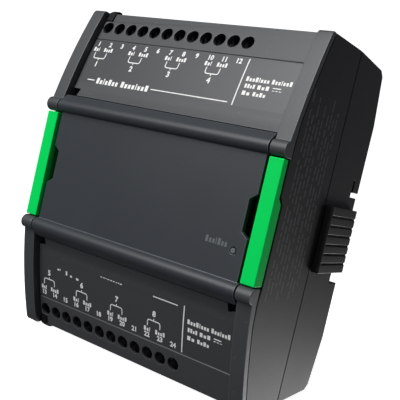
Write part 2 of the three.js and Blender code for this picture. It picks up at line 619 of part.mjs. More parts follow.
function makeClip() {
  const foot = RECESS_EDGE + CLEARANCE;
  const lipTop = RAIL_EDGE - HOOK_REACH;
  const outline = [
    [clipFront, -foot], [clipFront, 0.4 - TOP], [clipBack, 0.4 - TOP], [clipBack, -foot - BEAM],
    [HOOK_DEPTH + HOOK_THICKNESS, -foot - BEAM], [HOOK_DEPTH + HOOK_THICKNESS, 0.5 - RAIL_EDGE],
    [HOOK_DEPTH + 1, -lipTop], [HOOK_DEPTH, -lipTop], [HOOK_DEPTH, -foot],
  ];
  const body = prism(outline, -CLIP_HALF_WIDTH, CLIP_HALF_WIDTH);
  const springWindow = box(-4.3, 4.3, clipFront - 1, clipBack + 1, windowFoot, windowTop);
  const toolSlot = box(-3, 3, clipFront - 1, clipBack + 1, 1.6 - TOP, 3.6 - TOP);
  return cut(body, springWindow, toolSlot);
}
add('din_clip', makeClip(), BLACK);

function makeSpring() {
  const top = windowTop - SPRING_END_GAP;
  const length = top - SPRING_END_GAP - stopTop;
  const left = Array.from({ length: SPRING_TURNS + 1 }, (_, i) => {
    const x = i % 2 === 0 ? -SPRING_HALF_WIDTH : SPRING_HALF_WIDTH - SPRING_WIRE;
    return [x, top - (length * i) / SPRING_TURNS];
  });
  const right = left.map(([x, z]) => [x + SPRING_WIRE, z]).reverse();
  return plate([...left, ...right], clipFront + 0.4, clipBack - 0.4);
}
add('din_clip_spring', makeSpring(), ZINC);

// ---- Bus connectors and the ribbed cap that covers the right one ----

const busX = HALF - 1;
const busMiddle = (BUS_TOP + BUS_BOTTOM) / 2;

function makeRightConnector() {
  const body = box(busX - BUS_BODY_LENGTH, busX, BASE_BOARD_BACK + CLEARANCE, BUS_BACK - 2.5,
    BUS_BOTTOM + 2.5, BUS_TOP - 2.5);
  const slots = [-3, 0, 3].map((z) =>
    box(busX - 6, busX + 1, BASE_BOARD_BACK + 2, BUS_BACK - 4, busMiddle + z - 0.6, busMiddle + z + 0.6));
  return cut(body, ...slots);
}
add('right_bus_connector', makeRightConnector(), CHIP);

function makeLeftConnector() {
  const body = box(-busX, BUS_BODY_LENGTH - busX, BASE_BOARD_BACK + CLEARANCE, BUS_BACK - 0.5,
    BUS_BOTTOM + 0.5, BUS_TOP - 0.5);
  const socket = box(-busX - 1, 8 - busX, BASE_BOARD_BACK + 1.5, BUS_BACK - 1.8, BUS_BOTTOM + 2, BUS_TOP - 2);
  return cut(body, socket);
}
add('left_bus_connector', makeLeftConnector(), CHIP);

function makeCap() {
  const face = HALF + CLEARANCE;
  const outer = HALF + CAP_PROUD;
  const back = capFront + CAP_DEPTH;
  const rib = (CAP_TOP - CAP_BOTTOM) / CAP_RIBS;
  const rearRound = Array.from({ length: 6 }, (_, i) => {
    const angle = (Math.PI / 2) * (i / 5);
    return [outer - CAP_ROUND * (1 - Math.cos(angle)), back - CAP_ROUND * (1 - Math.sin(angle))];
  });
  const outline = [[face, capFront], [outer - 0.4, capFront], [outer, capFront + 0.4], ...rearRound, [face, back]];
  const shape = new THREE.Shape(outline.map(([x, y]) => new THREE.Vector2(x, y)));
  const options = { depth: CAP_TOP - CAP_BOTTOM, bevelEnabled: false };
  const block = toSolid(new THREE.ExtrudeGeometry(shape, options).translate(0, 0, CAP_BOTTOM));
  const grooves = Array.from({ length: CAP_RIBS - 1 }, (_, i) => {
    const z = CAP_BOTTOM + rib * (i + 1);
    return box(outer - CAP_GROOVE_DEPTH, outer + 1, capFront + 1.2, back + 1, z - CAP_GROOVE / 2, z + CAP_GROOVE / 2);
  });
  const notches = Array.from({ length: CAP_RIBS - 1 }, (_, i) => {
    const z = CAP_BOTTOM + rib * (i + 1);
    return box(face - 1, outer + 1, back - CAP_NOTCH_DEPTH, back + 1, z - CAP_NOTCH / 2, z + CAP_NOTCH / 2);
  });
  const skirt = cut(
    box(HALF - SKIRT_LENGTH, face + 0.2, BUS_FRONT, BUS_BACK, BUS_BOTTOM, BUS_TOP),
    box(HALF - SKIRT_LENGTH - 1, HALF - 0.2, BUS_FRONT + SKIRT_WALL, BUS_BACK - SKIRT_WALL,
      BUS_BOTTOM + SKIRT_WALL, BUS_TOP - SKIRT_WALL),
  );
  return cut(join(block, skirt), ...grooves, ...notches);
}
add('bus_connector_cap', makeCap(), BLACK);

// ---- Base circuit board ----

function makeBaseBoard() {
  const boardX = HALF - BASE_BOARD_FROM_SIDE;
  const boardZ = TOP - BASE_BOARD_FROM_END;
  const board = box(-boardX, boardX, BASE_BOARD_FRONT, BASE_BOARD_BACK, -boardZ, boardZ);
  const holes = [[-POST_X, POST_Z], [POST_X, -POST_Z]].map(([x, z]) =>
    rodAlongDepth(x, z, BOARD_SCREW_RADIUS + 0.3, BASE_BOARD_FRONT - 1, BASE_BOARD_BACK + 1, 12));
  return cut(board, ...holes);
}
add('base_board', makeBaseBoard(), BOARD_GREEN);
add('base_socket', box(-13, 13, JOINT_DEPTH + 0.5, BASE_BOARD_FRONT - CLEARANCE, -5, 5), CHIP);

function makeBoardScrew() {
  const front = BASE_BOARD_FRONT - CLEARANCE;
  const head = rodAlongDepth(0, 0, BOARD_SCREW_RADIUS * 1.9, front - 1.4, front, 12);
  const shank = rodAlongDepth(0, 0, BOARD_SCREW_RADIUS, front - 0.2, BASE_BOARD_BACK + 7, 12);
  const cross = [box(-1.4, 1.4, front - 2, front - 0.8, -0.3, 0.3), box(-0.3, 0.3, front - 2, front - 0.8, -1.4, 1.4)];
  return toGeometry(cut(join(head, shank), ...cross));
}
const boardScrew = makeBoardScrew();
for (const [name, x, z] of [['base_board_screw_upper', -POST_X, POST_Z], ['base_board_screw_lower', POST_X, -POST_Z]]) {
  add(name, boardScrew.clone(), ZINC).position.set(x, 0, z);
}

export default group;
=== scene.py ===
# %% [markdown]
# # A rail-mounted controller module, finished for a still
#
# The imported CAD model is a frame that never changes: it fixes where each piece is and how it
# moves. Everything here dresses that frame. Moulded pieces become softened copies of their CAD
# solids, metal and board pieces keep their solids and get a finish, and the printed marks are new
# thin pieces that lie on the terminal doors. All lengths are in metres, and MM turns millimetres
# into metres.

import json
import math

import bmesh
import bpy
from mathutils import Matrix, Vector
from mathutils.bvhtree import BVHTree

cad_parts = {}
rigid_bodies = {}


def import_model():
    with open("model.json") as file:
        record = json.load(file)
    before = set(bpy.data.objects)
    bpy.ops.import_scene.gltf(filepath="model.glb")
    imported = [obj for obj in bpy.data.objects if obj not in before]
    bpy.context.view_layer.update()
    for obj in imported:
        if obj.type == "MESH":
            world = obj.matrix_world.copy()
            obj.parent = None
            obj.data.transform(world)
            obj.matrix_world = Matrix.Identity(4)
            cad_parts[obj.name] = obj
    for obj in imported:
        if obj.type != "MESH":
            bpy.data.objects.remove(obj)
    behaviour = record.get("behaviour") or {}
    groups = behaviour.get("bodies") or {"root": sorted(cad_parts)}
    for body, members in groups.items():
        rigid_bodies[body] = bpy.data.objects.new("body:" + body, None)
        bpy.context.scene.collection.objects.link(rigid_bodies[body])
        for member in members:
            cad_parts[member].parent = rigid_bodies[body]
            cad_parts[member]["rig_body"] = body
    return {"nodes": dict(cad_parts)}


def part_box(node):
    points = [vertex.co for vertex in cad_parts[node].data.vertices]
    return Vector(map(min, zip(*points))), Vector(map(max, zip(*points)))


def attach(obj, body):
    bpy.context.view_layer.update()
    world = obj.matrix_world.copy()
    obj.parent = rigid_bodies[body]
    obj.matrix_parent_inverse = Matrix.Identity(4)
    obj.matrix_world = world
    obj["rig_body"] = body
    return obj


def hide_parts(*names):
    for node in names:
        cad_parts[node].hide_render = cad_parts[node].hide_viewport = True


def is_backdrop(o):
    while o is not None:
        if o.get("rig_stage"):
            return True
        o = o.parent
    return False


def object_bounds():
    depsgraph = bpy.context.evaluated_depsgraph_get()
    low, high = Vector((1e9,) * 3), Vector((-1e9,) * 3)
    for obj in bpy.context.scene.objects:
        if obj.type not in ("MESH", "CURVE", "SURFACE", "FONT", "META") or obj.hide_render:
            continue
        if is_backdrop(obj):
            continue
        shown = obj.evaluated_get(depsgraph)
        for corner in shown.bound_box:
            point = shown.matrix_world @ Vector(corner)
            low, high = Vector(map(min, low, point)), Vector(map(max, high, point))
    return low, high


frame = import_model()
nodes = frame["nodes"]
cad_low, cad_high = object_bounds()
MM = 0.001

# %% [markdown]
# ## Camera
#
# The module is seen from its right, a little above its middle, with the camera rolled so that the
# uprights lean to the left. A camera's own axes are its right, its up and the reverse of its view,
# so those three directions make its rotation. The position and the lens together set how strongly
# the far left end shrinks, which is why the place is given rather than an angle and a distance.

# %% Camera
CAMERA_PLACE = Vector((119.5, -214.9, 10.2)) * MM
VIEW_DIRECTION = Vector((-0.5249, 0.8498, -0.0472))
UP_DIRECTION = Vector((-0.2171, -0.0801, 0.9729))
LENS = 58.6

camera_data = bpy.data.cameras.new("studio_camera")
camera_data.lens = LENS
camera_data.clip_start = 10 * MM
camera = bpy.data.objects.new("studio_camera", camera_data)
bpy.context.scene.collection.objects.link(camera)
backwards = -VIEW_DIRECTION.normalized()
rightwards = UP_DIRECTION.cross(backwards).normalized()
upwards = backwards.cross(rightwards)
turn = Matrix((rightwards, upwards, backwards)).transposed()
camera.matrix_world = Matrix.Translation(CAMERA_PLACE) @ turn.to_4x4()
bpy.context.scene.camera = camera
print("camera looks down by", round(math.degrees(math.asin(backwards.z)), 1), "degrees")

# %% [markdown]
# ## Shader sums as Python
#
# A material is a graph of nodes, and wiring sums by hand is long. `Wire` holds an output socket and
# overloads the arithmetic signs, so `1 + mask * 0.5` adds its own Math nodes. `Finish` is a new
# material with one method, `node`, that adds any other node: its settings are set first, because
# they can change which sockets it has, and its sockets are then filled by name or identifier.

# %% Wire and Finish
class Wire:
    """An output socket that can be added to, subtracted from and multiplied."""

    def __init__(self, finish, socket):
        self.finish = finish
        self.socket = socket

    def sum(self, operation, first, second):
        made = self.finish.node("ShaderNodeMath", {"operation": operation}, {0: first, 1: second})
        return made("Value")

    def __add__(self, other):
        return self.sum("ADD", self, other)

    def __radd__(self, other):
        return self.sum("ADD", other, self)

    def __sub__(self, other):
        return self.sum("SUBTRACT", self, other)

    def __mul__(self, other):
        return self.sum("MULTIPLY", self, other)


class Finish:
    """A node material under construction, with one output node."""

    def __init__(self, name):
        self.material = bpy.data.materials.new(name)
        self.material.use_nodes = True
        self.tree = self.material.node_tree
        self.tree.nodes.clear()
        self.output = self.tree.nodes.new("ShaderNodeOutputMaterial")

    def socket(self, sockets, key):
        if isinstance(key, int):
            return sockets[key]
        by_identifier = [s for s in sockets if s.identifier == key]
        return (by_identifier or [s for s in sockets if s.name == key])[0]

    def node(self, kind, settings=None, sockets=None):
        node = self.tree.nodes.new(kind)
        for key, value in (settings or {}).items():
            setattr(node, key, value)
        for key, value in (sockets or {}).items():
            target = self.socket(node.inputs, key)
            if isinstance(value, Wire):
                self.tree.links.new(value.socket, target)
            else:
                target.default_value = value
        return lambda name=0: Wire(self, self.socket(node.outputs, name))

    def blend(self, factor, first, second):
        """A colour between two colours."""
        mix = self.node("ShaderNodeMix", {"data_type": "RGBA"},
                        {"Factor_Float": factor, "A_Color": first, "B_Color": second})
        return mix("Result_Color")

    def noise(self, vector, scale, detail=2.0, roughness=0.5):
        made = self.node("ShaderNodeTexNoise", {}, {
            "Vector": vector, "Scale": scale, "Detail": detail, "Roughness": roughness})
        return made("Fac")

    def surface(self, shader):
        self.tree.links.new(shader.socket, self.output.inputs["Surface"])
        return self.material


def shade(colour, gain):
    """A colour made lighter or darker, with full opacity."""
    return (*[min(1.0, part * gain) for part in colour[:3]], 1.0)


# %% [markdown]
# ## Moulded plastic
#
# Every case piece is injection moulded, and its surface was spark-eroded in the tool: a grain of
# pits about a third of a millimetre across, satin rather than shiny. Handling polishes the crests
# a little lighter, and dust settles in the grain. Three noises do it: a broad one that
# drifts the tone over centimetres, a fine one that is the grain, and a sparse one for dust specks.
# The softened copies carry a face attribute, `edge`, that is 1 on the rounded edges, so the shader
# can paint them lighter: partly the polish of handling, partly a painted highlight for the light
# that the rounds catch. The grain goes to a Bump node, because it is far below the size of the
# mesh.

# %% Moulded plastic
GRAIN_SCALE = 2600.0
GRAIN_HEIGHT = 0.018 * MM
DRIFT_SCALE = 32.0
DUST_SCALE = 900.0
DUST_FROM, DUST_FULL = 0.70, 0.80
DUST_COLOUR = (0.62, 0.62, 0.60, 1.0)


def moulded(name, colour, roughness, grain=0.35, drift=0.10, edge_highlight_gain=1.7, dust=0.05,
            specular=0.5):
    finish = Finish(name)
    place = finish.node("ShaderNodeTexCoord")("Object")
    grain_noise = finish.noise(place, GRAIN_SCALE, 3.0, 0.6)
    drift_noise = finish.noise(place, DRIFT_SCALE, 3.0, 0.55)
    dust_noise = finish.noise(place, DUST_SCALE, 1.0, 0.4)
    specks = finish.node("ShaderNodeMapRange", {"clamp": True}, {
        "Value": dust_noise, "From Min": DUST_FROM, "From Max": DUST_FULL,
        "To Min": 0.0, "To Max": dust})("Result")
    edge = finish.node("ShaderNodeAttribute", {"attribute_name": "edge"})("Fac")
    tone = finish.blend(drift_noise, shade(colour, 1 - drift), shade(colour, 1 + drift))
    pits = finish.blend(grain_noise * 0.5, tone, shade(colour, 0.72))
    # Rounded edges painted lighter: handling wear plus a painted highlight.
    worn_and_highlit = finish.blend(edge * 0.8, pits, shade(colour, edge_highlight_gain))
    dusty = finish.blend(specks, worn_and_highlit, DUST_COLOUR)
    gloss = roughness + (drift_noise - 0.5) * 0.10 + (grain_noise - 0.5) * 0.12 - edge * 0.08
    bump = finish.node("ShaderNodeBump", {}, {
        "Height": grain_noise, "Strength": grain, "Distance": GRAIN_HEIGHT})("Normal")
    shader = finish.node("ShaderNodeBsdfPrincipled", {}, {
        "Base Color": dusty, "Roughness": gloss, "Normal": bump, "Specular IOR Level": specular})
    return finish.surface(shader("BSDF"))


charcoal = moulded("charcoal_moulding", (0.052, 0.056, 0.060), 0.47)
# The panel's rounded edges are painted much lighter than the others: a painted highlight along its
# outline.
panel_grey = moulded("panel_moulding", (0.034, 0.039, 0.046), 0.44, edge_highlight_gain=2.6, dust=0.015)
black = moulded("black_moulding", (0.013, 0.0135, 0.0145), 0.50, dust=0.03, specular=0.30)
green = moulded("green_moulding", (0.001, 0.76, 0.122), 0.42, grain=0.25, edge_highlight_gain=1.05,
                dust=0.0, specular=0.08)
connector_black = moulded("connector_moulding", (0.012, 0.012, 0.013), 0.42, grain=0.2)
# The terminal blocks are black moulding painted darker than the housing: painted shade for the deep
# wells behind the door holes.
well_shade_black = moulded("shaded_well_moulding", (0.006, 0.006, 0.007), 0.60, specular=0.2)
print("moulded finishes:", [m.name for m in (charcoal, panel_grey, black, green, well_shade_black)])

# %% [markdown]
# ## Metal, laminate and resin
#
# The terminal screws and the clip's spring are zinc-plated steel: bright, with a faint cloudy
# bloom and fine drawn scratches, which are a noise squeezed along one axis. The hinge pins have
# the same plating, passivated black.
# The circuit boards are glass laminate under green solder resist, whose copper tracks show as
# slightly darker, raised lanes. Chips and the converter are dull resin with a fine pitted face.

# %% Metal, laminate and resin
def plated(name, colour, roughness, squeeze=(1.0, 0.08, 1.0)):
    finish = Finish(name)
    place = finish.node("ShaderNodeTexCoord")("Object")
    drawn = finish.node("ShaderNodeMapping", {}, {"Vector": place, "Scale": squeeze})("Vector")
    scratches = finish.noise(drawn, 5200.0, 4.0, 0.7)
    bloom = finish.noise(place, 420.0, 3.0, 0.6)
    tone = finish.blend(bloom, shade(colour, 0.78), shade(colour, 1.08))
    gloss = roughness + (bloom - 0.4) * 0.22 + (scratches - 0.5) * 0.18
    bump = finish.node("ShaderNodeBump", {}, {
        "Height": scratches, "Strength": 0.25, "Distance": 0.004 * MM})("Normal")
    shader = finish.node("ShaderNodeBsdfPrincipled", {}, {
        "Base Color": tone, "Metallic": 1.0, "Roughness": gloss, "Normal": bump})
    return finish.surface(shader("BSDF"))


def laminate(name, colour):
    finish = Finish(name)
    place = finish.node("ShaderNodeTexCoord")("Object")
    lanes = finish.node("ShaderNodeTexWave", {"wave_type": "BANDS", "bands_direction": "Z"}, {
        "Vector": place, "Scale": 110.0, "Distortion": 5.0, "Detail": 1.0})("Fac")
    tracks = finish.node("ShaderNodeMapRange", {"clamp": True}, {
        "Value": lanes, "From Min": 0.45, "From Max": 0.55})("Result")
    weave = finish.noise(place, 1500.0, 2.0)
    tone = finish.blend(tracks, shade(colour, 1.25), shade(colour, 0.75))
    cloth = finish.blend(weave * 0.35, tone, shade(colour, 0.6))
    bump = finish.node("ShaderNodeBump", {}, {
        "Height": tracks, "Strength": 0.6, "Distance": 0.03 * MM})("Normal")
    shader = finish.node("ShaderNodeBsdfPrincipled", {}, {
        "Base Color": cloth, "Roughness": 0.28 + weave * 0.15, "Normal": bump, "Coat Weight": 0.3})
    return finish.surface(shader("BSDF"))


zinc = plated("zinc_plating", (0.66, 0.67, 0.68), 0.24)
black_zinc = plated("black_zinc_plating", (0.045, 0.046, 0.050), 0.42)
drawn_can = plated("drawn_aluminium_can", (0.72, 0.73, 0.74), 0.30, (1.0, 0.05, 1.0))
solder_resist = laminate("green_solder_resist", (0.012, 0.10, 0.035))
resin = moulded("chip_resin", (0.014, 0.014, 0.015), 0.55, grain=0.6, edge_highlight_gain=1.2)

# %% [markdown]
# ## Clear plastic, lamp and print
#
# The light pipe is a clear rod that brings the lamp's light through the panel, so it transmits.
# Its ends are frosted by the mould, which a fine noise on roughness gives. The print on the doors
# is white ink pressed on by a soft pad: opaque, a little uneven where the grain shows through it.
# The label film under the print is the doors' own colour, smoother than the moulding around it.
# The panel's word is a grey ink, and the flank's marks are a laser's faint grey.

# %% Clear plastic, lamp and print
def clear_rod(name):
    finish = Finish(name)
    place = finish.node("ShaderNodeTexCoord")("Object")
    frost = finish.noise(place, 3000.0, 3.0, 0.6)
    tone = finish.blend(frost, (0.15, 0.17, 0.17, 1.0), (0.24, 0.26, 0.26, 1.0))
    shader = finish.node("ShaderNodeBsdfPrincipled", {}, {
        "Base Color": tone, "Roughness": 0.12 + frost * 0.25,
        "Transmission Weight": 0.35, "IOR": 1.49})
    return finish.surface(shader("BSDF"))


def ink(name, colour):
    finish = Finish(name)
    place = finish.node("ShaderNodeTexCoord")("Object")
    uneven = finish.noise(place, 2600.0, 3.0, 0.6)
    tone = finish.blend(uneven, shade(colour, 0.80), shade(colour, 1.06))
    bump = finish.node("ShaderNodeBump", {}, {
        "Height": uneven, "Strength": 0.2, "Distance": 0.01 * MM})("Normal")
    shader = finish.node("ShaderNodeBsdfPrincipled", {}, {
        "Base Color": tone, "Roughness": 0.5 + uneven * 0.1, "Normal": bump})
    return finish.surface(shader("BSDF"))


clear = clear_rod("clear_light_pipe")
lamp_lens = ink("pale_lamp_lens", (0.40, 0.43, 0.36))
white_ink = ink("white_pad_print", (0.92, 0.92, 0.90))
grey_ink = ink("grey_pad_print", (0.13, 0.14, 0.15))
faint_ink = ink("faint_laser_mark", (0.052, 0.054, 0.057))
film = moulded("label_film", (0.047, 0.051, 0.055), 0.40, grain=0.12, drift=0.05, dust=0.03)

# %% [markdown]
# ## Softened copies of the moulded pieces
#
# A real moulding has no razor edges: the tool leaves about a quarter of a millimetre of round, and
# those rounds catch the light that draws the object's lines. A CAD node is never edited, so each
# moulded piece is a copy. Its loose triangles are merged, the flat ones are joined into whole faces
# so that the bevel meets real edges only, and the sharp edges are bevelled. A Weighted Normal
# modifier then shades the big faces flat and lets only the rounds turn the light.

# %% Softened copies
FLAT_ANGLE = math.radians(0.8)
SHARP_ANGLE = math.radians(32)


def weigh_normals(piece):
    """Shades big faces flat, then keeps the result as a plain mesh."""
    piece.modifiers.new("face_weighted_shading", "WEIGHTED_NORMAL").keep_sharp = True
    depsgraph = bpy.context.evaluated_depsgraph_get()
    shaded = bpy.data.meshes.new_from_object(piece.evaluated_get(depsgraph))
    piece.modifiers.clear()
    piece.data = shaded
    return piece


def new_piece(name, mesh, finish):
    piece = bpy.data.objects.new(name, mesh)
    bpy.context.scene.collection.objects.link(piece)
    mesh.materials.clear()
    mesh.materials.append(finish)
    return piece


def softened(node, finish, width=0.22, steps=2):
    """A bevelled copy of a CAD node, which it replaces on the same body."""
    bm = bmesh.new()
    bm.from_mesh(nodes[node].data)
    bmesh.ops.remove_doubles(bm, verts=bm.verts, dist=0.002 * MM)
    bmesh.ops.dissolve_limit(bm, angle_limit=FLAT_ANGLE, verts=bm.verts, edges=bm.edges)
    edge_layer = bm.faces.layers.float.new("edge")
    sharp = [e for e in bm.edges if e.is_manifold and e.calc_face_angle() > SHARP_ANGLE]
    made = bmesh.ops.bevel(bm, geom=sharp, offset=width * MM, offset_type="OFFSET", segments=steps,
                           profile=0.5, affect="EDGES", clamp_overlap=False)
    for face in made["faces"]:
        face[edge_layer] = 1.0
    for face in bm.faces:
        face.smooth = True
    bmesh.ops.triangulate(bm, faces=[f for f in bm.faces if len(f.verts) > 4])
    mesh = bpy.data.meshes.new(node + "_moulding")
    bm.to_mesh(mesh)
    bm.free()
    mesh.set_sharp_from_angle(angle=SHARP_ANGLE)
    piece = weigh_normals(new_piece(node + "_moulding", mesh, finish))
    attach(piece, nodes[node]["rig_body"])
    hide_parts(node)
    low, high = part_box(node)
    grown = max(max(low[i] - min(v.co[i] for v in piece.data.vertices),
                    max(v.co[i] for v in piece.data.vertices) - high[i]) for i in range(3))
    print(f"{node}: {len(piece.data.polygons)} faces, stands {grown / MM:.3f} mm proud of its box")
    return piece


# %% [markdown]
# The front is three colours of plastic: the charcoal frame and doors, the bluer centre panel, and
# the green handles, whose edges are rounder because fingers pull them.

# %% Front mouldings
softened("front_frame", charcoal, 0.25)
softened("centre_panel", panel_grey, 0.22)
for door in ("upper_door", "lower_door"):
    softened(door, charcoal, 0.16)
for handle in ("left_release_handle", "right_release_handle"):
    softened(handle, green, 0.35, 3)

# %% [markdown]
# Behind them are the black housing and base, the ribbed cap, the rail clip and the terminal blocks.

# %% Rear mouldings
softened("module_housing", black, 0.28)
softened("terminal_base", black, 0.28)
softened("bus_connector_cap", black, 0.2)
softened("din_clip", black, 0.25)
# The blocks' extra-dark black is painted shade for the wells behind the door holes.
for block in ("upper_terminal_block", "lower_terminal_block"):
    softened(block, well_shade_black, 0.12)
for connector in ("left_bus_connector", "right_bus_connector"):
    softened(connector, connector_black, 0.18)

# %% [markdown]
# ## Finishes on the pieces that keep their CAD solids
#
# Boards, chips, pins and the spring have the right shape already, so only their finish changes.

# %% Finishes by kind
def refinish(names, finish):
    for name in names:
        mesh = nodes[name].data
        mesh.materials.clear()
        mesh.materials.append(finish)
    print(finish.name, "on", len(names), "nodes")


pins = [n for n in nodes if n.endswith("hinge_pin")]
refinish(pins, black_zinc)
refinish(["din_clip_spring", "base_board_screw_lower", "base_board_screw_upper"], zinc)
refinish(["main_board", "base_board"], solder_resist)
refinish(["capacitor_lower", "capacitor_upper"], drawn_can)
refinish(["processor_chip", "driver_chip_lower", "driver_chip_upper", "isolating_converter"], resin)
refinish(["base_socket", "board_plug"], connector_black)
refinish(["status_light_pipe"], clear)
refinish(["status_lamp"], lamp_lens)

# %% [markdown]
# ## Terminal screws by Geometry Nodes
#
# Behind each round hole of a door sits a slotted clamp screw, twelve to a row and two rows. They
# are one shape repeated at a fixed pitch, so one softened screw is made and a node tree sets it
# out: a Mesh Line for each row, Instance on Points, and a seeded turn about each screw's axis,
# because no fitter leaves two slots at the same angle. The tree ends in Realize Instances and Set
# Material, and the result is kept as a plain mesh.

# %% One screw
screw_names = sorted(n for n in nodes if n.startswith("terminal_screw_"))
screws_per_row = len(screw_names) // 2
first_low, first_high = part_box(screw_names[0])
next_low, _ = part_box(screw_names[1])
other_low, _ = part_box(screw_names[screws_per_row])
first_middle = (first_low + first_high) / 2
screw_place = Vector((first_middle.x, first_low.y, first_middle.z))
screw_pitch = next_low.x - first_low.x
row_drop = first_low.z - other_low.z
print(f"{len(screw_names)} screws, pitch {screw_pitch / MM:.2f} mm,",
      f"rows {row_drop / MM:.1f} mm apart")

SCREW_ROUND = 0.12
bm = bmesh.new()
bm.from_mesh(nodes[screw_names[0]].data)
bmesh.ops.translate(bm, verts=bm.verts, vec=-screw_place)
bmesh.ops.remove_doubles(bm, verts=bm.verts, dist=0.002 * MM)
bmesh.ops.dissolve_limit(bm, angle_limit=FLAT_ANGLE, verts=bm.verts, edges=bm.edges)
rims = [e for e in bm.edges if e.is_manifold and e.calc_face_angle() > math.radians(50)]
bmesh.ops.bevel(bm, geom=rims, offset=SCREW_ROUND * MM, segments=2, profile=0.5,
                affect="EDGES", clamp_overlap=False)
for face in bm.faces:
    face.smooth = True
screw_mesh = bpy.data.meshes.new("one_screw")
bm.to_mesh(screw_mesh)
bm.free()
screw_mesh.set_sharp_from_angle(angle=math.radians(40))
one_screw = new_piece("one_screw", screw_mesh, zinc)

# %% Two rows of screws
def grow(tree, kind, settings=None, sockets=None):
    """Adds a geometry node: settings first, then values or links for its sockets."""
    node = tree.nodes.new(kind)
    for key, value in (settings or {}).items():
        setattr(node, key, value)
    for key, value in (sockets or {}).items():
        if isinstance(value, bpy.types.NodeSocket):
            tree.links.new(value, node.inputs[key])
        else:
            node.inputs[key].default_value = value
    return node.outputs


rows_tree = bpy.data.node_groups.new("screw_rows", "GeometryNodeTree")
rows_tree.interface.new_socket("Geometry", in_out="OUTPUT", socket_type="NodeSocketGeometry")
screw_inputs = {
    "Screw": ("NodeSocketObject", one_screw),
    "Count": ("NodeSocketInt", screws_per_row),
    "First Place": ("NodeSocketVector", screw_place),
    "Pitch": ("NodeSocketFloat", screw_pitch),
    "Row Drop": ("NodeSocketFloat", row_drop),
    "Seed": ("NodeSocketInt", 7),
    "Metal": ("NodeSocketMaterial", zinc),
}
for name, (kind, _) in screw_inputs.items():
    rows_tree.interface.new_socket(name, in_out="INPUT", socket_type=kind)
given = rows_tree.nodes.new("NodeGroupInput").outputs
step = grow(rows_tree, "ShaderNodeCombineXYZ", None, {"X": given["Pitch"]})["Vector"]
drop = grow(rows_tree, "ShaderNodeCombineXYZ", None, {"Z": given["Row Drop"]})["Vector"]
second_place = grow(rows_tree, "ShaderNodeVectorMath", {"operation": "SUBTRACT"},
                    {0: given["First Place"], 1: drop})["Vector"]
rows = [grow(rows_tree, "GeometryNodeMeshLine", {"mode": "OFFSET"},
             {"Count": given["Count"], "Start Location": start, "Offset": step})["Mesh"]
        for start in (given["First Place"], second_place)]
both = rows_tree.nodes.new("GeometryNodeJoinGeometry")
for row in rows:
    rows_tree.links.new(row, both.inputs["Geometry"])
slot_turn = grow(rows_tree, "FunctionNodeRandomValue", {"data_type": "FLOAT"},
                 {2: 0.0, 3: math.pi, "Seed": given["Seed"]})[1]
spin = grow(rows_tree, "ShaderNodeCombineXYZ", None, {"Y": slot_turn})["Vector"]
rotation = grow(rows_tree, "FunctionNodeEulerToRotation", None, {"Euler": spin})["Rotation"]
shape = grow(rows_tree, "GeometryNodeObjectInfo", None, {"Object": given["Screw"]})["Geometry"]
copies = grow(rows_tree, "GeometryNodeInstanceOnPoints", None, {
    "Points": both.outputs["Geometry"], "Instance": shape, "Rotation": rotation})["Instances"]
real = grow(rows_tree, "GeometryNodeRealizeInstances", None, {"Geometry": copies})["Geometry"]
plated_rows = grow(rows_tree, "GeometryNodeSetMaterial", None,
                   {"Geometry": real, "Material": given["Metal"]})["Geometry"]
rows_tree.links.new(plated_rows, rows_tree.nodes.new("NodeGroupOutput").inputs["Geometry"])


def grown(name, tree, inputs, finish):
    """Runs a tree on an empty mesh and keeps what it makes as a plain mesh."""
    carrier = bpy.data.objects.new(name, bpy.data.meshes.new(name))
    bpy.context.scene.collection.objects.link(carrier)
    modifier = carrier.modifiers.new("tree", "NODES")
    modifier.node_group = tree
    for item in tree.interface.items_tree:
        if item.in_out == "INPUT":
            modifier[item.identifier] = inputs[item.name][1]
    depsgraph = bpy.context.evaluated_depsgraph_get()
    mesh = bpy.data.meshes.new_from_object(carrier.evaluated_get(depsgraph))
    bpy.data.objects.remove(carrier)
    return new_piece(name, mesh, finish)


terminal_screws = grown("terminal_screws", rows_tree, screw_inputs, zinc)
bpy.data.objects.remove(one_screw)
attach(terminal_screws, "module")
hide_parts(*screw_names)
print("screw rows:", len(terminal_screws.data.polygons), "faces")

# %% [markdown]
# ## Marks on the doors
#
# The doors carry a smooth label with terminal numbers, a bracket under each pair of terminals, a
# channel number for each bracket, rules and a few lines of small print. Only the numbers are drawn
# as such. Small print is stood for by rows of plain tall and low blocks with the same length and
# height, so it looks like print from afar and spells nothing from near. Every mark is a thin
# closed plate, drawn flat in millimetres across and up, and then laid on the door: a ray shot at
# the door's own CAD solid says how deep the surface is at that spot.

# %% A pen that draws on a door
FRONT_OF_EVERYTHING = -0.2
INK_LIFT = 0.03 * MM
INK_THICKNESS = 0.05 * MM
BLOCK_SIZES = {"T": (1.0, 1.0), "x": (0.85, 0.70), "i": (0.35, 1.0)}
BLOCK_GAP = 0.42


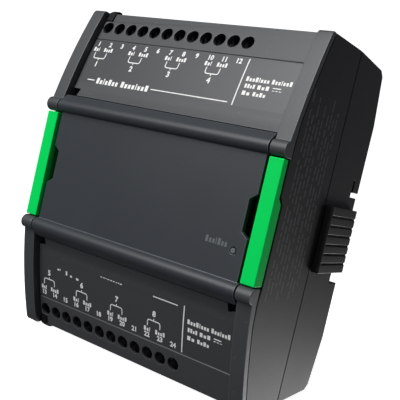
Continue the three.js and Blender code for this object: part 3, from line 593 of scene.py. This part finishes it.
class Pen:
    """Collects thin plates that lie on one CAD node's front."""

    def __init__(self, node, lift=INK_LIFT, thickness=INK_THICKNESS):
        mesh = nodes[node].data
        self.skin = BVHTree.FromPolygons([v.co for v in mesh.vertices],
                                         [p.vertices for p in mesh.polygons])
        self.lift = lift
        self.thickness = thickness
        self.bm = bmesh.new()

    def depth(self, x, z):
        hit, _, _, _ = self.skin.ray_cast(Vector((x, FRONT_OF_EVERYTHING, z)), Vector((0, 1, 0)))
        return hit.y

    def spot(self, x, z, front):
        """A point above the skin, from millimetres across and up."""
        y = self.depth(x * MM, z * MM) - self.lift - (self.thickness if front else 0.0)
        return self.bm.verts.new((x * MM, y, z * MM))

    def ribbon(self, left, right):
        """A plate between two runs of points."""
        rings = [[self.spot(*a, True), self.spot(*b, True),
                  self.spot(*b, False), self.spot(*a, False)] for a, b in zip(left, right)]
        for one, two in zip(rings, rings[1:]):
            for i in range(4):
                j = (i + 1) % 4
                self.bm.faces.new((one[i], one[j], two[j], two[i]))
        self.bm.faces.new(rings[0][::-1])
        self.bm.faces.new(rings[-1])

    def line(self, points, width):
        """A stroke of a width along a run of points, with mitred corners."""
        path = [Vector(p) for p in points]
        left, right = [], []
        for i, point in enumerate(path):
            before = (point - path[i - 1]).normalized() if i else None
            after = (path[i + 1] - point).normalized() if i + 1 < len(path) else None
            way = ((before or after) + (after or before)).normalized()
            side = Vector((-way.y, way.x))
            square = Vector((-(after or before).y, (after or before).x))
            reach = width / 2 / max(0.4, side.dot(square))
            left.append(point + side * reach)
            right.append(point - side * reach)
        self.ribbon(left, right)

    def rule(self, start, end, width, step=1.5):
        """A straight line, cut into steps so that it follows a curved skin."""
        start, end = Vector(start), Vector(end)
        count = max(1, math.ceil((end - start).length / step))
        self.line([start.lerp(end, i / count) for i in range(count + 1)], width)

    def blocks(self, start, end, z, height, rhythm):
        """A word's worth of plain blocks, tall (T), low (x) or narrow (i), across a width."""
        sizes = [BLOCK_SIZES[c] for c in rhythm]
        unit = (end - start) / (sum(width + BLOCK_GAP for width, _ in sizes) - BLOCK_GAP)
        x = start
        for width, tallness in sizes:
            middle = z + height * (tallness - 1) / 2
            self.line([(x, middle), (x + width * unit, middle)], height * tallness)
            x += (width + BLOCK_GAP) * unit

    def figure(self, words, x, z, height, weight=0.055):
        """A number in the plain built-in typeface, centred on a place."""
        curve = bpy.data.curves.new("figure", "FONT")
        curve.body, curve.align_x, curve.align_y = words, "CENTER", "CENTER"
        curve.size = height / 0.7
        curve.offset = height * weight
        curve.extrude = 1.0
        curve.resolution_u = 3
        text = bpy.data.objects.new("figure", curve)
        bpy.context.scene.collection.objects.link(text)
        depsgraph = bpy.context.evaluated_depsgraph_get()
        mesh = bpy.data.meshes.new_from_object(text.evaluated_get(depsgraph))
        spots = [self.spot(x + v.co.x, z + v.co.y, v.co.z > 0) for v in mesh.vertices]
        for polygon in mesh.polygons:
            self.bm.faces.new([spots[i] for i in polygon.vertices])
        bpy.data.objects.remove(text)
        bpy.data.curves.remove(curve)
        bpy.data.meshes.remove(mesh)

    def finish(self, name, finish, body, slot):
        bmesh.ops.remove_doubles(self.bm, verts=self.bm.verts, dist=0.001 * MM)
        bmesh.ops.recalc_face_normals(self.bm, faces=self.bm.faces)
        mesh = bpy.data.meshes.new(name)
        self.bm.to_mesh(mesh)
        self.bm.free()
        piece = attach(new_piece(name, mesh, finish), body)
        print(name, len(mesh.polygons), "faces")
        return piece


# %% [markdown]
# The two labels mirror each other about the panel: on both, the terminal numbers are next to the
# holes and the title is next to the panel, and the lower title is worn down to a few scraps.
# Heights are measured from the middle of the module and multiplied by +1 or -1 for the door, while
# the figures themselves always stand upright.

# %% Label films
LABEL_LEFT, LABEL_RIGHT = -38.9, 39.0
LABEL_OUTER, LABEL_INNER = 45.2, 29.9
LABEL_CORNER = 1.6


def label_film(door, end):
    pen = Pen(door, lift=0.0, thickness=0.02 * MM)
    heights = [LABEL_OUTER + (LABEL_INNER + LABEL_CORNER - LABEL_OUTER) * i / 12 for i in range(13)]
    heights += [LABEL_INNER + LABEL_CORNER * (1 - math.sin(math.radians(a)))
                for a in (30, 55, 75, 90)]
    left, right = [], []
    for height in heights:
        into = max(0.0, LABEL_INNER + LABEL_CORNER - height)
        inset = LABEL_CORNER - math.sqrt(max(0.0, LABEL_CORNER ** 2 - into ** 2))
        left.append((LABEL_LEFT + inset, height * end))
        right.append((LABEL_RIGHT - inset, height * end))
    pen.ribbon(left, right)
    return pen.finish(door + "_label_film", film, door, "charcoal_plastic")


label_film("upper_door", 1)
label_film("lower_door", -1)

# %% Door print
FIRST_TERMINAL = screw_place.x / MM
PITCH = screw_pitch / MM
NUMBER_Z, NUMBER_HEIGHT = 43.85, 1.55
PAIR_Z, PAIR_HEIGHT = 41.95, 1.4
BRACKET_OPEN, BRACKET_SHUT, BRACKET_STEM = 40.8, 38.7, 38.0
CHANNEL_Z, CHANNEL_HEIGHT = 36.5, 1.75
TITLE_Z = 30.9
LINE_WIDTH = 0.32
DIVIDER_X, DIVIDER_TOP, DIVIDER_FOOT = 21.8, 45.0, 30.2
BRACKET_ROUND = 0.7
UPPER_TITLE = ((-35.6, -32.4, 0, None), (-31.4, -22.2, 2.0, "TxixTxx"),
               (-20.8, -9.6, 2.0, "TxxxixxT"), (-8.5, 20.0, 0, None))
LOWER_TITLE = ((-11.5, -2.5, 0.4, "xxixxxxix"), (10.0, 19.4, 0, None))
LOWER_MARKS = ((-30.9, -29.6, -33.9, 0.7, "xi"), (-27.0, -26.3, -34.2, 1.4, "T"),
               (-25.0, -24.1, -34.6, 0.8, "x"), (-22.2, -21.2, -34.9, 0.7, "T"))
SMALL_PRINT = (((23.3, 30.9, 1.45, "TxxTixxx"), (31.8, 38.2, 1.45, "TxxixxT")),
               ((23.6, 27.0, 1.3, "TTxT"), (27.9, 31.6, 1.3, "TxT")),
               ((23.6, 26.1, 1.3, "Tx"), (27.2, 31.3, 1.3, "TxTx")))


def bracket(pen, x0, x1, end):
    """An open box with rounded corners and a stem towards its channel number."""
    corner = [(BRACKET_ROUND * (1 - math.cos(math.radians(a))),
               BRACKET_ROUND * (1 - math.sin(math.radians(a)))) for a in (0, 30, 60, 90)]
    left = [(x0 + a, (BRACKET_SHUT + b) * end) for a, b in corner]
    right = [(x1 - a, (BRACKET_SHUT + b) * end) for a, b in corner[::-1]]
    pen.line([(x0, BRACKET_OPEN * end), *left, *right, (x1, BRACKET_OPEN * end)], LINE_WIDTH)
    middle = (x0 + x1) / 2
    pen.rule((middle, BRACKET_SHUT * end), (middle, BRACKET_STEM * end), LINE_WIDTH)


def door_print(door, end, first_number, first_channel, title, marks=()):
    pen = Pen(door, lift=INK_LIFT)
    for i in range(screws_per_row):
        pen.figure(str(first_number + i), FIRST_TERMINAL + i * PITCH, NUMBER_Z * end, NUMBER_HEIGHT)
    for channel in range(4):
        x0 = FIRST_TERMINAL + PITCH * 3 * channel
        x1 = x0 + PITCH
        pen.blocks(x0 - 1.2, x0 + 1.2, PAIR_Z * end, PAIR_HEIGHT, "Txi")
        pen.blocks(x1 - 1.8, x1 + 1.8, PAIR_Z * end, PAIR_HEIGHT, "TxxT")
        bracket(pen, x0 + 0.1, x1 - 0.1, end)
        pen.figure(str(first_channel + channel), (x0 + x1) / 2, CHANNEL_Z * end, CHANNEL_HEIGHT)
    for start, stop, height, rhythm in title:
        if rhythm:
            pen.blocks(start, stop, TITLE_Z * end, height, rhythm)
        else:
            pen.rule((start, TITLE_Z * end), (stop, TITLE_Z * end), LINE_WIDTH)
    for start, stop, height_up, height, rhythm in marks:
        pen.blocks(start, stop, height_up, height, rhythm)
    pen.rule((DIVIDER_X, DIVIDER_TOP * end), (DIVIDER_X, DIVIDER_FOOT * end), LINE_WIDTH * 1.2)
    lines = (38.8, 36.6, 34.4) if end > 0 else (-34.6, -37.1, -39.6)
    for row, words in zip(lines, SMALL_PRINT):
        for start, stop, height, rhythm in words:
            pen.blocks(start, stop, row, height, rhythm)
    pen.rule((32.8, lines[1] + 0.35), (35.4, lines[1] + 0.35), 0.3)
    pen.blocks(32.8, 35.7, lines[1] - 0.4, 0.3, "xxx")
    return pen.finish(door + "_print", white_ink, door, "white_print")


door_print("upper_door", 1, 1, 1, UPPER_TITLE)
door_print("lower_door", -1, 13, 5, LOWER_TITLE, LOWER_MARKS)

# %% [markdown]
# ## Marks on the panel and the flank
#
# Beside the lamp the panel has one dim grey word, and the housing's right flank has rows of very
# faint laser marks between the panel and the base. Both are stood for by plain blocks again. The
# flank's rows run up the module, so they are thin boxes set just proud of the flank.

# %% Panel and flank marks
panel_pen = Pen("centre_panel")
panel_pen.blocks(26.2, 33.4, -8.5, 1.9, "TxxiTxx")
panel_pen.finish("panel_marks", grey_ink, nodes["centre_panel"]["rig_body"], "white_print")

FLANK_COLUMNS = (9.5, 11.9, 14.3, 16.7, 19.1, 22.6, 25.0, 27.4, 29.8)
FLANK_FOOT, FLANK_TOP = -22.0, 38.0
MARK_WIDTH = 0.9
MARK_SUNK, MARK_THICKNESS = 0.01 * MM, 0.03 * MM
_, housing_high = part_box("module_housing")
bm = bmesh.new()
for column, back in enumerate(FLANK_COLUMNS):
    z, turn_number = FLANK_FOOT + 2.0 * (column % 3), column
    while z < FLANK_TOP - 6.0 * (column % 2):
        turn_number += 1
        length = 1.4 + 1.1 * (turn_number % 3)
        low = Vector((housing_high.x - MARK_SUNK, cad_low.y + back * MM, z * MM))
        size = Vector((MARK_THICKNESS, MARK_WIDTH * MM, length * MM))
        middle = Matrix.Translation(low + size / 2) @ Matrix.Diagonal((*size, 1.0))
        bmesh.ops.create_cube(bm, size=1.0, matrix=middle)
        z += length + (0.7 if turn_number % 4 else 2.2)
flank_mesh = bpy.data.meshes.new("flank_marks")
bm.to_mesh(flank_mesh)
bm.free()
flank_marks = new_piece("flank_marks", flank_mesh, faint_ink)
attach(flank_marks, nodes["module_housing"]["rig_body"])
print("flank marks:", len(flank_mesh.polygons), "faces")

# %% [markdown]
# ## Studio
#
# The module stands on a pale sweep: a floor that curves up all round far away, so no horizon
# crosses the picture and any side can be looked at. The sweep glows evenly and neither lights the
# module nor shows in it, so the background stays white while the light on the module stays low and
# directed. A large key above the front left is mirrored in the sloping upper door and leaves the
# lower door in shade, and a low strip behind the right is mirrored in the foot of the flank.

# %% Sweep
FLOOR_Z = cad_low.z
FLAT_RADIUS, RISE_RADIUS = 1.1, 0.9
ROUND_STEPS = 72

sweep_finish = Finish("pale_studio_sweep")
sweep_place = sweep_finish.node("ShaderNodeTexCoord")("Object")
sweep_tone = sweep_finish.blend(sweep_finish.noise(sweep_place, 9.0),
                                (0.84, 0.84, 0.84, 1.0), (0.88, 0.88, 0.88, 1.0))
sweep_shader = sweep_finish.node("ShaderNodeBsdfPrincipled", {}, {
    "Base Color": sweep_tone, "Roughness": 0.9,
    "Emission Color": (1, 1, 1, 1), "Emission Strength": 0.92})
sweep_finish.surface(sweep_shader("BSDF"))

profile = [(r, 0.0) for r in (0.02, 0.3, 0.7, FLAT_RADIUS)]
profile += [(FLAT_RADIUS + RISE_RADIUS * math.sin(math.radians(a)),
             RISE_RADIUS * (1 - math.cos(math.radians(a)))) for a in range(10, 91, 10)]
turns = [2 * math.pi * i / ROUND_STEPS for i in range(ROUND_STEPS)]
bm = bmesh.new()
rings = [[bm.verts.new((r * math.cos(t), r * math.sin(t), FLOOR_Z + h)) for t in turns]
         for r, h in profile]
for one, two in zip(rings, rings[1:]):
    for i in range(ROUND_STEPS):
        j = (i + 1) % ROUND_STEPS
        bm.faces.new((one[i], two[i], two[j], one[j]))
bm.faces.new(rings[0])
for face in bm.faces:
    face.smooth = True
sweep_mesh = bpy.data.meshes.new("studio_sweep")
bm.to_mesh(sweep_mesh)
bm.free()
sweep = new_piece("studio_sweep", sweep_mesh, sweep_finish.material)
sweep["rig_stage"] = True
sweep.visible_diffuse = sweep.visible_glossy = sweep.visible_shadow = False

# %% Lights
def softbox(name, place, target, size, power, colour=(1.0, 1.0, 1.0)):
    lamp = bpy.data.lights.new(name, "AREA")
    lamp.shape, lamp.size, lamp.size_y = "RECTANGLE", size[0], size[1]
    lamp.energy, lamp.color = power, colour
    holder = bpy.data.objects.new(name, lamp)
    bpy.context.scene.collection.objects.link(holder)
    holder.location = Vector(place)
    holder.rotation_euler = (Vector(target) - Vector(place)).to_track_quat("-Z", "Y").to_euler()
    return holder


softbox("key_softbox", (-0.24, -0.80, 0.50), (0, -0.03, 0.03), (0.62, 0.7), 6.8)
softbox("high_softbox", (-0.12, -0.55, 0.80), (0, -0.03, 0.03), (0.35, 0.5), 3.8)
softbox("flank_strip", (0.42, 0.80, -0.46), (0.045, -0.03, -0.03), (0.9, 0.28), 4.0)
AIR_STRENGTH = 0.13
world = bpy.data.worlds.new("studio_air")
world.use_nodes = True
world.node_tree.nodes["Background"].inputs["Color"].default_value = (0.93, 0.95, 1.0, 1.0)
world.node_tree.nodes["Background"].inputs["Strength"].default_value = AIR_STRENGTH
bpy.context.scene.world = world
bpy.context.scene.view_settings.view_transform = "Standard"

low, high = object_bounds()
print("visual size in mm:", [round((b - a) / MM, 2) for a, b in zip(low, high)])
